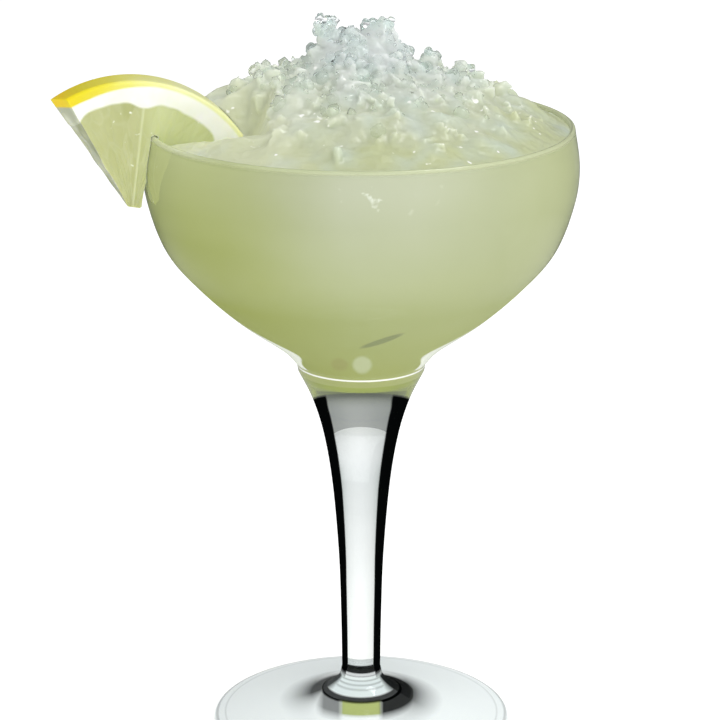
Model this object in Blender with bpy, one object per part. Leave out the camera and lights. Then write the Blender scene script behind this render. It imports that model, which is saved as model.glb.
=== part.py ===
"""A gin fix cocktail: a stemmed saucer glass filled with a cloudy lemon drink, heaped with
crushed ice, and a quarter slice of lemon pushed over its rim.

Metres, +Z up. The origin is the middle of the glass's foot, on the surface that it stands on.
The lemon sits on the -X side, and -Y is the front.
"""

import math
import random

import bmesh
import bpy
from mathutils import Matrix, Vector, noise

MM = 0.001
GAP = 0.3 * MM  # left between pieces that touch

# The glass: radii and heights of its outside, from the foot up
GLASS_HEIGHT = 141.0 * MM
GLASS_SIDES = 44
FOOT_RADIUS = 34.15 * MM
FOOT_REST_RADIUS = 33.0 * MM  # edge of the flat underside
FOOT_EDGE_HEIGHT = 1.1 * MM  # of the widest point of the foot's rounded edge
FOOT_TOP = [(33.2, 2.1), (24.0, 3.6), (16.0, 5.2), (10.8, 6.9), (7.4, 8.8), (5.2, 10.8), (4.4, 13.5)]
STEM = [(4.4, 13.5), (4.6, 26.0), (5.1, 41.0), (6.5, 58.0), (8.45, 70.0), (11.0, 78.5), (14.2, 85.2)]
BOWL = [(14.5, 86.9), (18.4, 91.0), (28.0, 98.0), (36.7, 106.0), (43.3, 114.0), (47.0, 124.0),
        (47.95, 132.0), (46.85, 140.3)]
WALL_AT_RIM = 1.4 * MM
WALL_AT_BASE = 1.9 * MM
FLOOR_CORNER = (12.6, 88.3)  # where the inside wall turns into the floor
FLOOR_DISH = 1.5 * MM  # how far the floor's middle lies below that corner
FLOOR_RINGS = (0.0, 0.4, 0.75)  # where the floor has corners, as shares of its radius
FLOOR_ROUNDING = 2.0 * MM  # left free between the floor's corner and the wall's first point

# The drink
DRINK_LEVEL = 137.5 * MM

# The ice: a mound with a steeper peak, and chips of ice on it
ICE_BASE = DRINK_LEVEL + GAP
ICE_RADIUS = 44.9 * MM
ICE_SHOULDER = 140.3 * MM  # height of the mound's edge
MOUND_RISE = 15.0 * MM
MOUND_POWER = 1.6
PEAK_RISE = 6.0 * MM
PEAK_RADIUS = 10.0 * MM
ICE_UNEVEN = 1.2 * MM  # height of the swells in the mound
ICE_SWELL = 7.0 * MM  # and about how far apart they are
ICE_CALM_EDGE = 6.0 * MM  # width of the mound's edge over which they die away
ICE_RINGS = 8
ICE_SIDES = 32
CHIP_COUNT = 104
CHIP_SIZES = (1.9 * MM, 3.1 * MM)  # from the middle to a corner
CHIP_EDGE = 1.2 * MM  # how far the outermost chips stand in from the mound's edge
CHIP_STRAY = 1.0 * MM
CHIP_SEED = 11
# The lumps that stand out on the mound: x, y, z of the middle and the radius
LUMPS = [
    (-8.2, 1.0, 160.2, 3.1), (-8.6, 0.5, 162.6, 2.0), (-5.8, 1.0, 163.7, 2.1),
    (3.2, 1.0, 161.2, 3.8), (7.4, 0.5, 158.2, 2.7), (-1.6, -2.5, 158.8, 3.4),
    (15.0, 2.5, 154.6, 2.4), (21.8, 3.0, 152.8, 2.6), (-21.2, 2.5, 152.0, 2.8),
    (-13.8, 3.0, 152.6, 2.5), (30.0, 4.0, 147.6, 2.4), (-27.0, 4.0, 149.0, 2.5),
]

# The lemon: a quarter of a thick slice, its point hanging outside the glass
LEMON_BEARING = math.radians(192.0)  # of the slice's plane, seen from above
LEMON_RADIUS = 29.5 * MM
LEMON_POINT_REACH = 49.8 * MM  # of the slice's centre, out from the glass's axis
LEMON_POINT_HEIGHT = 124.8 * MM
LEMON_FROM = math.radians(34.0)  # the cut faces, up from the line towards the glass's axis
LEMON_TO = math.radians(126.0)
LEMON_STEPS = 12
LEMON_THICK_AT_RIND = 8.6 * MM
LEMON_THICK_AT_POINT = 5.0 * MM
LEMON_POINT_CUT = 1.5 * MM  # the point is blunt
RIND_ROUNDING = 1.2 * MM
LEMON_WIDENS_FROM = 0.4  # share of the radius at which the slice has an extra row of corners
SLIT_BOTTOM = 112.0 * MM
SLIT_TOP = 145.0 * MM
SLIT_SWEEP = math.radians(16.0)  # how far the slit's cutter reaches round the glass
SLIT_STEPS = 5


def smooth_through(points, steps):
    """A smooth curve through the points, given and returned as (radius, height); points in mm."""
    known = [Vector(p) * MM for p in points]
    known = [2 * known[0] - known[1], *known, 2 * known[-1] - known[-2]]
    curve = []
    for before, start, end, after in zip(known, known[1:], known[2:], known[3:]):
        for step in range(steps):
            t = step / steps
            curve.append(
                0.5 * ((2 * start) + (end - before) * t
                       + (2 * before - 5 * start + 4 * end - after) * t**2
                       + (3 * start - before - 3 * end + after) * t**3)
            )
    curve.append(known[-2])
    return curve


def bowl_outside():
    return smooth_through(BOWL, 2)


def bowl_inside(inset=0.0):
    """The inside of the bowl from the middle of its floor up to its rim, drawn in by inset."""
    outside = bowl_outside()
    wall = []
    for below, here, above in zip(outside, outside[1:], outside[2:] + [None]):
        above = above or here
        along = (above - below).normalized()
        share = (here.y - outside[0].y) / (outside[-1].y - outside[0].y)
        thick = WALL_AT_BASE + (WALL_AT_RIM - WALL_AT_BASE) * share + inset
        wall.append(here + thick * Vector((-along.y, along.x)))
    corner = Vector(FLOOR_CORNER) * MM + inset * Vector((-1.0, 1.0))
    floor = []
    for share in FLOOR_RINGS:
        floor.append(Vector((share * corner.x, corner.y - FLOOR_DISH * (1.0 - share**2))))
    return [*floor, corner, *[p for p in wall if p.x > corner.x + FLOOR_ROUNDING]]


def turned(name, profile, start=0.0, sweep=2 * math.pi, steps=GLASS_SIDES):
    """A solid turned about the Z axis from a profile of (radius, height) points."""
    mesh = bmesh.new()
    around = Matrix.Rotation(start, 3, "Z")
    corners = [mesh.verts.new(around @ Vector((p.x, 0.0, p.y))) for p in profile]
    whole = math.isclose(sweep, 2 * math.pi)
    if whole:
        for pair in zip(corners, corners[1:]):
            mesh.edges.new(pair)
    else:
        mesh.faces.new(corners)
    swept = [*mesh.verts, *mesh.edges, *mesh.faces]
    bmesh.ops.spin(
        mesh, geom=swept, axis=(0, 0, 1), cent=(0, 0, 0), angle=sweep, steps=steps, use_merge=whole
    )
    bmesh.ops.remove_doubles(mesh, verts=mesh.verts, dist=0.001 * MM)
    bmesh.ops.recalc_face_normals(mesh, faces=mesh.faces)
    return placed(name, mesh)


def placed(name, mesh):
    data = bpy.data.meshes.new(name)
    mesh.to_mesh(data)
    mesh.free()
    made = bpy.data.objects.new(name, data)
    bpy.context.scene.collection.objects.link(made)
    return made


def as_cutter(made):
    made.hide_render = True
    made.display_type = "WIRE"
    return made


def cut(made, cutter):
    hole = made.modifiers.new("cut_by_" + cutter.name, "BOOLEAN")
    hole.operation = "DIFFERENCE"
    hole.solver = "EXACT"
    hole.object = cutter


def finished(made, colour, roughness, clear=0.0):
    material = bpy.data.materials.new(made.name)
    material.use_nodes = True
    shader = material.node_tree.nodes["Principled BSDF"]
    shader.inputs["Base Color"].default_value = (*colour, 1.0)
    shader.inputs["Roughness"].default_value = roughness
    shader.inputs["Metallic"].default_value = 0.0
    shader.inputs["Transmission Weight"].default_value = clear
    made.data.materials.clear()
    made.data.materials.append(material)
    made.data.shade_smooth()
    made.data.set_sharp_from_angle(angle=math.radians(40.0))


def rim_lip(outside, inside):
    """The half round that joins the two walls at the rim."""
    middle = (outside + inside) / 2
    radius = (outside.x - inside.x) / 2
    lip = []
    for step in (1, 2, 3):
        turn = math.pi * step / 4
        lip.append(middle + Vector((radius * math.cos(turn), (GLASS_HEIGHT - middle.y) * math.sin(turn))))
    return lip


def make_glass():
    """Foot, stem and bowl are one piece of glass, with a crease where the bowl meets the stem."""
    foot = [Vector((0.0, 0.0)), Vector((FOOT_REST_RADIUS, 0.0)), Vector((FOOT_RADIUS, FOOT_EDGE_HEIGHT))]
    inside = bowl_inside()
    outside = bowl_outside()
    profile = [
        *foot,
        *smooth_through(FOOT_TOP, 2)[:-1],
        *smooth_through(STEM, 2),
        *outside,
        *rim_lip(outside[-1], inside[-1]),
        *reversed(inside),
    ]
    finished(turned("glass", profile), (0.90, 0.93, 0.92), 0.02, clear=1.0)


def lemon_section(turn, grow):
    """Across the slice at one angle: (distance from the centre, offset from the slice's plane)."""
    half_angle = (LEMON_TO - LEMON_FROM) / 2
    back = grow / math.sin(half_angle)
    off_middle = turn - (LEMON_FROM + half_angle)
    start = (LEMON_POINT_CUT + back - grow) / math.cos(off_middle)
    rind = LEMON_RADIUS + back + grow

    def half(reach):
        taper = (LEMON_THICK_AT_RIND - LEMON_THICK_AT_POINT) * reach / LEMON_RADIUS
        return (LEMON_THICK_AT_POINT + taper) / 2 + grow

    side = [
        (start, half(start)),
        (rind * LEMON_WIDENS_FROM, half(rind * LEMON_WIDENS_FROM)),
        (rind - RIND_ROUNDING, half(rind)),
        (rind, half(rind) - RIND_ROUNDING),
    ]
    return [*side, *[(reach, -offset) for reach, offset in reversed(side)]]


def lemon_slice(name, grow=0.0):
    """The quarter slice, or the room it needs where grow is above 0."""
    outward = Vector((math.cos(LEMON_BEARING), math.sin(LEMON_BEARING), 0.0))
    up = Vector((0.0, 0.0, 1.0))
    across = outward.cross(up)
    middle = (LEMON_FROM + LEMON_TO) / 2
    bisector = math.cos(middle) * -outward + math.sin(middle) * up
    centre = LEMON_POINT_REACH * outward + LEMON_POINT_HEIGHT * up
    centre -= bisector * grow / math.sin((LEMON_TO - LEMON_FROM) / 2)
    mesh = bmesh.new()
    rows = []
    for step in range(LEMON_STEPS + 1):
        turn = LEMON_FROM + (LEMON_TO - LEMON_FROM) * step / LEMON_STEPS
        along = math.cos(turn) * -outward + math.sin(turn) * up
        rows.append([mesh.verts.new(centre + reach * along + offset * across)
                     for reach, offset in lemon_section(turn, grow)])
    for row, following in zip(rows, rows[1:]):
        for i, corner in enumerate(row):
            mesh.faces.new((corner, row[i - 1], following[i - 1], following[i]))
    mesh.faces.new(rows[0])
    mesh.faces.new(rows[-1])
    bmesh.ops.recalc_face_normals(mesh, faces=mesh.faces)
    return placed(name, mesh)


def slit_for_wall():
    """The room that the glass's wall takes in the lemon, running up into a closed cut."""
    outside = [p for p in bowl_outside() if p.y > SLIT_BOTTOM]
    inside = [p for p in bowl_inside() if p.y > SLIT_BOTTOM]
    clear = Vector((GAP, 0.0))
    top_out = Vector((outside[-1].x, GLASS_HEIGHT + GAP)) + clear
    top_in = Vector((inside[-1].x, GLASS_HEIGHT + GAP)) - clear
    tip = Vector((outside[-1].x, SLIT_TOP))
    profile = [
        *[p + clear for p in outside],
        top_out, tip, top_in,
        *[p - clear for p in reversed(inside)],
    ]
    start = LEMON_BEARING - SLIT_SWEEP / 2
    return as_cutter(turned("lemon_slit", profile, start, SLIT_SWEEP, SLIT_STEPS))


def make_lemon():
    lemon = lemon_slice("lemon_wedge")
    cut(lemon, slit_for_wall())
    finished(lemon, (0.86, 0.83, 0.30), 0.45)


def make_drink(room):
    """The drink fills the bowl up to its level and is open where the lemon dips into it."""
    wall = [p for p in bowl_inside(GAP) if p.y < DRINK_LEVEL - GAP]
    surface = Vector((wall[-1].x, DRINK_LEVEL))
    drink = turned("drink", [*wall, surface, Vector((0.0, DRINK_LEVEL))])
    cut(drink, room)
    finished(drink, (0.62, 0.68, 0.36), 0.25)


def ice_height(x, y):
    out = math.hypot(x, y)
    mound = MOUND_RISE * (1.0 - min(out / ICE_RADIUS, 1.0) ** MOUND_POWER)
    peak = PEAK_RISE * math.exp(-((out / PEAK_RADIUS) ** 4))
    uneven = ICE_UNEVEN * noise.noise(Vector((x, y, 0.0)) / ICE_SWELL)
    return ICE_SHOULDER + mound + peak + uneven * min(1.0, (ICE_RADIUS - out) / ICE_CALM_EDGE)


def ice_mound():
    mesh = bmesh.new()
    foot = []
    for side in range(ICE_SIDES):
        turn = 2 * math.pi * side / ICE_SIDES
        x, y = ICE_RADIUS * math.cos(turn), ICE_RADIUS * math.sin(turn)
        foot.append(mesh.verts.new((x, y, ICE_BASE)))
    rings = []
    for ring in range(ICE_RINGS, 0, -1):
        out = ICE_RADIUS * ring / ICE_RINGS
        row = []
        for side in range(ICE_SIDES):
            turn = 2 * math.pi * side / ICE_SIDES
            x, y = out * math.cos(turn), out * math.sin(turn)
            row.append(mesh.verts.new((x, y, ice_height(x, y))))
        rings.append(row)
    top = mesh.verts.new((0.0, 0.0, ice_height(0.0, 0.0)))
    for lower, upper in zip([foot, *rings], rings):
        for i, corner in enumerate(lower):
            mesh.faces.new((lower[i - 1], corner, upper[i], upper[i - 1]))
    for i, corner in enumerate(rings[-1]):
        mesh.faces.new((rings[-1][i - 1], corner, top))
    mesh.faces.new(foot)
    bmesh.ops.recalc_face_normals(mesh, faces=mesh.faces)
    return placed("crushed_ice", mesh)


def clear_of_others(place, size):
    """Whether a chip here keeps off the glass's rim and the lemon."""
    out = math.hypot(place.x, place.y)
    wall_middle = Vector(BOWL[-1]) * MM - Vector((WALL_AT_RIM / 2, 0.0))
    if (Vector((out, place.z)) - wall_middle).length < size + WALL_AT_RIM / 2 + GAP:
        return False
    if place.z < GLASS_HEIGHT and out + size > ICE_RADIUS:
        return False
    outward = Vector((math.cos(LEMON_BEARING), math.sin(LEMON_BEARING)))
    reach = place.xy.dot(outward)
    aside = abs(place.x * outward.y - place.y * outward.x)
    lemon_starts = LEMON_POINT_REACH - LEMON_RADIUS * math.cos(LEMON_FROM)
    beside = LEMON_THICK_AT_RIND / 2 + GAP + size
    return reach < lemon_starts - size - GAP or aside > beside


def ice_chip(name, place, size, chance):
    """A lump of ice with few sides: a squashed, uneven twenty-sided ball."""
    mesh = bmesh.new()
    bmesh.ops.create_icosphere(mesh, subdivisions=1, radius=size)
    for corner in mesh.verts:
        corner.co *= chance.uniform(0.8, 1.0)
    squash = Matrix.Diagonal((1.0, chance.uniform(0.75, 1.0), chance.uniform(0.65, 0.95)))
    tilt = [chance.uniform(0.0, math.pi) for _ in range(3)]
    turn = Matrix.Rotation(tilt[0], 3, "Z") @ Matrix.Rotation(tilt[1], 3, "X") @ Matrix.Rotation(tilt[2], 3, "Z")
    bmesh.ops.transform(mesh, matrix=(turn @ squash).to_4x4(), verts=mesh.verts)
    bmesh.ops.translate(mesh, vec=place, verts=mesh.verts)
    return placed(name, mesh)


def scattered_chips(chance):
    """Places and sizes of the chips, spread evenly over the mound on a sunflower spiral."""
    golden = math.pi * (3.0 - math.sqrt(5.0))
    for index in range(CHIP_COUNT):
        size = chance.uniform(*CHIP_SIZES)
        out = (ICE_RADIUS - CHIP_EDGE) * math.sqrt((index + 0.5) / CHIP_COUNT)
        out += chance.uniform(-CHIP_STRAY, CHIP_STRAY)
        turn = index * golden + chance.uniform(-0.1, 0.1)
        x, y = out * math.cos(turn), out * math.sin(turn)
        place = Vector((x, y, ice_height(x, y) + size * chance.uniform(-0.1, 0.3)))
        if clear_of_others(place, size):
            yield place, size


def make_ice(room):
    """One body: the mound with its lumps and chips joined on, open where the lemon stands."""
    chance = random.Random(CHIP_SEED)
    chips = bpy.data.collections.new("ice_chips")
    places = [(Vector(lump[:3]) * MM, lump[3] * MM) for lump in LUMPS] + list(scattered_chips(chance))
    for number, (place, size) in enumerate(places):
        chip = ice_chip(f"ice_chip_{number}", place, size, chance)
        bpy.context.scene.collection.objects.unlink(chip)
        chips.objects.link(chip)
    mound = ice_mound()
    cut(mound, room)
    join = mound.modifiers.new("join_chips", "BOOLEAN")
    join.operation = "UNION"
    join.solver = "EXACT"
    join.operand_type = "COLLECTION"
    join.collection = chips
    seen = mound.evaluated_get(bpy.context.evaluated_depsgraph_get())
    joined = bpy.data.meshes.new_from_object(seen)
    mound.modifiers.clear()
    mound.data = joined
    for chip in list(chips.objects):
        bpy.data.objects.remove(chip)
    bpy.data.collections.remove(chips)
    keep_largest_body(mound)
    finished(mound, (0.80, 0.84, 0.80), 0.15)


def keep_largest_body(made):
    """Fills sealed hollows and drops loose scraps, which joining can leave."""
    mesh = bmesh.new()
    mesh.from_mesh(made.data)
    unseen = set(mesh.verts)
    bodies = []
    while unseen:
        body = [unseen.pop()]
        for corner in body:
            for edge in corner.link_edges:
                other = edge.other_vert(corner)
                if other in unseen:
                    unseen.remove(other)
                    body.append(other)
        bodies.append(body)
    bodies.sort(key=len)
    for scrap in bodies[:-1]:
        bmesh.ops.delete(mesh, geom=scrap, context="VERTS")
    mesh.to_mesh(made.data)
    mesh.free()


for old in list(bpy.data.objects):
    bpy.data.objects.remove(old)
make_glass()
make_lemon()
lemon_room = as_cutter(lemon_slice("lemon_room", GAP))
make_drink(lemon_room)
make_ice(lemon_room)
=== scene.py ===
"""A gin fix cocktail in a stemmed saucer glass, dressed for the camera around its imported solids."""

import math
import random

import bmesh
import bpy
from mathutils import Matrix, Vector, noise


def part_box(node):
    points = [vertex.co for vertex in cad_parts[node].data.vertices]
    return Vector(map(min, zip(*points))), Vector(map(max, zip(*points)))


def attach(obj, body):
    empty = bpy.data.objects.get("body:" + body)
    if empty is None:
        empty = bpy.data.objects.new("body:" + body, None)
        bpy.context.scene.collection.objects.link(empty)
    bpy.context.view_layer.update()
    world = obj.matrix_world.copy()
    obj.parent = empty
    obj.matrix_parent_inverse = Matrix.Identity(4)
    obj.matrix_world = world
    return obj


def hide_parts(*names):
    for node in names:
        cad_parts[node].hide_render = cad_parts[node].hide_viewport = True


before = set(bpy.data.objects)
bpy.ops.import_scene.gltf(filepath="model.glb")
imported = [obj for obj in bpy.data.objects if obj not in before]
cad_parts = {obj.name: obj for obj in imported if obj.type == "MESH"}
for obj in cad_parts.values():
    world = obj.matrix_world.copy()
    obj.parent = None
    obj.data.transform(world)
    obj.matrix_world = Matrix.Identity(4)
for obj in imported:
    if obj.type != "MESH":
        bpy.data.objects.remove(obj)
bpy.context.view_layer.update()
BODY = "root"
MM = 0.001
noise.seed_set(4)  # left alone it starts from the clock, and every run would bend the shapes anew


# The glass
# Foot, stem and bowl are one piece of clear soda glass, pressed and fire polished, so every edge is
# round. A crease runs round it where the bowl was joined to the stem. It is turned from one profile.
GLASS_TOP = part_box("glass")[1][2]
GLASS_SIDES = 160
WALL_AT_RIM = 1.4 * MM
WALL_AT_BASE = 1.9 * MM
FLOOR_CORNER = Vector((12.6, 88.3)) * MM
FLOOR_DISH = 4.5 * MM
FLOOR_POWER = 3.0
FOOT_REST_RADIUS = 33.0 * MM
FOOT_EDGE = Vector((1.15, 1.05)) * MM  # how far the foot's edge bulges, and half its thickness
FOOT_TOP = [(33.0, 2.1), (24.0, 3.6), (16.0, 5.2), (10.8, 6.9), (7.4, 8.8), (5.2, 10.8), (4.4, 13.5)]
STEM = [(4.4, 13.5), (4.6, 26.0), (5.1, 41.0), (6.5, 58.0), (8.45, 70.0), (11.0, 78.5), (14.2, 85.2)]
BOWL = [(14.5, 86.9), (18.4, 91.0), (28.0, 98.0), (36.7, 106.0), (43.3, 114.0), (47.0, 124.0),
        (47.95, 132.0), (46.85, 140.3)]


def smooth_through(points, steps):
    """A smooth curve through (radius, height) points given in mm, both ends among them."""
    known = [Vector(p) * MM for p in points]
    known = [2 * known[0] - known[1], *known, 2 * known[-1] - known[-2]]
    curve = []
    for before, start, end, after in zip(known, known[1:], known[2:], known[3:]):
        for step in range(steps):
            t = step / steps
            curve.append(0.5 * ((2 * start) + (end - before) * t
                                + (2 * before - 5 * start + 4 * end - after) * t**2
                                + (3 * start - before - 3 * end + after) * t**3))
    return [*curve, known[-2]]


def bowl_inside(outside, inset=0.0):
    """From the middle of the bowl's floor up to its rim, drawn in by inset, or out if negative."""
    corner = FLOOR_CORNER + inset * Vector((-1.0, 1.0))
    shares = [k / 10 for k in range(11)]
    inside = [Vector((corner.x * s, corner.y - FLOOR_DISH * (1 - s**FLOOR_POWER))) for s in shares]
    for below, here, above in zip(outside, outside[1:], [*outside[2:], outside[-1]]):
        along = (above - below).normalized()
        share = (here.y - outside[0].y) / (outside[-1].y - outside[0].y)
        thick = WALL_AT_BASE + (WALL_AT_RIM - WALL_AT_BASE) * share + inset
        point = here + thick * Vector((-along.y, along.x))
        if point.x > corner.x + 1.5 * MM:
            inside.append(point)
    return inside


def half_round(start, end, height, steps):
    """Points of a half ellipse over the line between two (radius, height) points."""
    middle, half, rise = (start + end) / 2, (start - end) / 2, Vector((0.0, height))
    turns = [math.pi * k / steps for k in range(1, steps)]
    return [middle + half * math.cos(turn) + rise * math.sin(turn) for turn in turns]


def add(tree, kind, values=None, **settings):
    """A new node with its settings, its inputs set to values or linked to other nodes' outputs."""
    node = tree.nodes.new(kind)
    for name, setting in settings.items():
        setattr(node, name, setting)
    for socket, value in (values or {}).items():
        if isinstance(value, bpy.types.NodeSocket):
            tree.links.new(value, node.inputs[socket])
        else:
            node.inputs[socket].default_value = value
    return node


def maths(tree, operation, *values):
    return add(tree, "ShaderNodeMath", dict(enumerate(values)), operation=operation).outputs[0]


def new_tree(name, inputs):
    """An empty tree of geometry nodes with its named inputs, and the node that gives them."""
    tree = bpy.data.node_groups.new(name, "GeometryNodeTree")
    for label, kind in {"Geometry": "NodeSocketGeometry", **inputs}.items():
        tree.interface.new_socket(label, in_out="INPUT", socket_type=kind)
    tree.interface.new_socket("Geometry", in_out="OUTPUT", socket_type="NodeSocketGeometry")
    return tree, tree.nodes.new("NodeGroupInput").outputs


def end_tree(tree, geometry, material):
    """Ends a tree in real mesh with its material on it."""
    real = add(tree, "GeometryNodeRealizeInstances", {0: geometry}).outputs[0]
    smooth = add(tree, "GeometryNodeSetShadeSmooth", {"Geometry": real}).outputs[0]
    clad = add(tree, "GeometryNodeSetMaterial", {"Geometry": smooth, "Material": material})
    tree.links.new(clad.outputs[0], tree.nodes.new("NodeGroupOutput").inputs[0])


def new_piece(name, data):
    """An object of a mesh, lamp or camera, in the scene."""
    piece = bpy.data.objects.new(name, data)
    bpy.context.scene.collection.objects.link(piece)
    return piece


def grown(name, base, tree, **inputs):
    """The plain mesh that a tree makes of a base mesh, as a new piece."""
    holder = new_piece(name + "_base", base)
    modifier = holder.modifiers.new(tree.name, "NODES")
    modifier.node_group = tree
    for item in tree.interface.items_tree:
        label = item.name.replace(" ", "_").lower()
        if item.in_out == "INPUT" and label in inputs:
            modifier[item.identifier] = inputs[label]
    made = bpy.data.meshes.new_from_object(holder.evaluated_get(bpy.context.evaluated_depsgraph_get()))
    bpy.data.objects.remove(holder)
    made.name = name
    return new_piece(name, made)


def turning_tree():
    """Turns a profile, a line of points in the XZ plane, about the Z axis."""
    tree, given = new_tree("turned profile", {"Sides": "NodeSocketInt", "Finish": "NodeSocketMaterial"})
    count = add(tree, "GeometryNodeAttributeDomainSize", {0: given["Geometry"]}).outputs["Point Count"]
    columns = maths(tree, "ADD", given["Sides"], 1.0)
    index = tree.nodes.new("GeometryNodeInputIndex").outputs[0]
    row = maths(tree, "FLOOR", maths(tree, "DIVIDE", index, columns))
    turn = maths(tree, "DIVIDE", maths(tree, "MODULO", index, columns), given["Sides"])
    here = tree.nodes.new("GeometryNodeInputPosition").outputs[0]
    point = add(tree, "GeometryNodeSampleIndex", {"Geometry": given["Geometry"], "Value": here, "Index": row},
                data_type="FLOAT_VECTOR")
    turned = add(tree, "ShaderNodeVectorRotate",
                 {"Vector": point.outputs[0], "Angle": maths(tree, "MULTIPLY", turn, 2 * math.pi)},
                 rotation_type="Z_AXIS").outputs[0]
    grid = add(tree, "GeometryNodeMeshGrid", {"Vertices X": count, "Vertices Y": columns}).outputs[0]
    placed = add(tree, "GeometryNodeSetPosition", {"Geometry": grid, "Position": turned}).outputs[0]
    closed = add(tree, "GeometryNodeMergeByDistance", {"Geometry": placed, "Distance": 1e-6})
    end_tree(tree, closed.outputs[0], given["Finish"])
    return tree


def turned_piece(name, profile, sides, finish):
    line = bpy.data.meshes.new(name + "_profile")
    line.from_pydata([(p.x, 0.0, p.y) for p in profile], [(k, k + 1) for k in range(len(profile) - 1)], [])
    return face_outwards(grown(name, line, turning, sides=sides, finish=finish))


def face_outwards(piece):
    mesh = bmesh.new()
    mesh.from_mesh(piece.data)
    bmesh.ops.recalc_face_normals(mesh, faces=mesh.faces)
    mesh.to_mesh(piece.data)
    mesh.free()
    return piece


def linear(red, green, blue):
    """A colour given as it looks on a screen, 0 to 255, as light."""
    return (*[((c / 255 + 0.055) / 1.055) ** 2.4 for c in (red, green, blue)], 1.0)


def new_material(name):
    """A material with an empty tree but for its output."""
    material = bpy.data.materials.new(name)
    material.use_nodes = True
    tree = material.node_tree
    tree.nodes.clear()
    return material, tree, tree.nodes.new("ShaderNodeOutputMaterial").inputs["Surface"]


def place_on_piece(tree):
    """The point that is shaded, in the object's own frame, and its X, Y and Z."""
    where = tree.nodes.new("ShaderNodeTexCoord").outputs["Object"]
    return where, add(tree, "ShaderNodeSeparateXYZ", {0: where}).outputs


def ramp(tree, factor, stops):
    """A colour ramp with (place, colour) stops."""
    node = add(tree, "ShaderNodeValToRGB", {0: factor})
    elements = node.color_ramp.elements
    elements[0].position, elements[0].color = stops[0]
    elements[1].position, elements[1].color = stops[-1]
    for place, colour in stops[1:-1]:
        elements.new(place).color = colour
    return node.outputs[0]


def times(tree, first, second):
    return maths(tree, "MULTIPLY", first, second)


def between(tree, value, low, high, at_low=0.0, at_high=1.0):
    """at_low up to low, at_high from high on, and a straight change between; low may be the larger."""
    return add(tree, "ShaderNodeMapRange", {0: value, 1: low, 2: high, 3: at_low, 4: at_high}).outputs[0]


def band(tree, value, start, full, fading, end):
    """1 from full to fading, and 0 before start and past end, all four given in mm."""
    rising = between(tree, value, start * MM, full * MM)
    return times(tree, rising, between(tree, value, end * MM, fading * MM))


def clouded(tree, where, scale, detail):
    """A soft random pattern with about that many patches to the metre."""
    return add(tree, "ShaderNodeTexNoise", {"Vector": where, "Scale": scale, "Detail": detail}).outputs[0]


def blended(tree, share, first, second, **settings):
    """The first colour, turning into the second as share goes from 0 to 1."""
    mixer = add(tree, "ShaderNodeMix", {0: share, 6: first, 7: second}, data_type="RGBA", **settings)
    return mixer.outputs[2]


def layered(tree, share, under, over):
    """One finish laid over another, and covering it where share is 1."""
    return add(tree, "ShaderNodeMixShader", {0: share, 1: under, 2: over}).outputs[0]


def let_light_through(tree, surface, colour, output):
    """Lamps and light bounced off dull things pass straight on, as through a thin clear wall."""
    path = tree.nodes.new("ShaderNodeLightPath").outputs
    passing = maths(tree, "MAXIMUM", path["Is Shadow Ray"], path["Is Diffuse Ray"])
    clear = add(tree, "ShaderNodeBsdfTransparent", {"Color": colour})
    tree.links.new(layered(tree, passing, surface, clear.outputs[0]), output)


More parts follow.
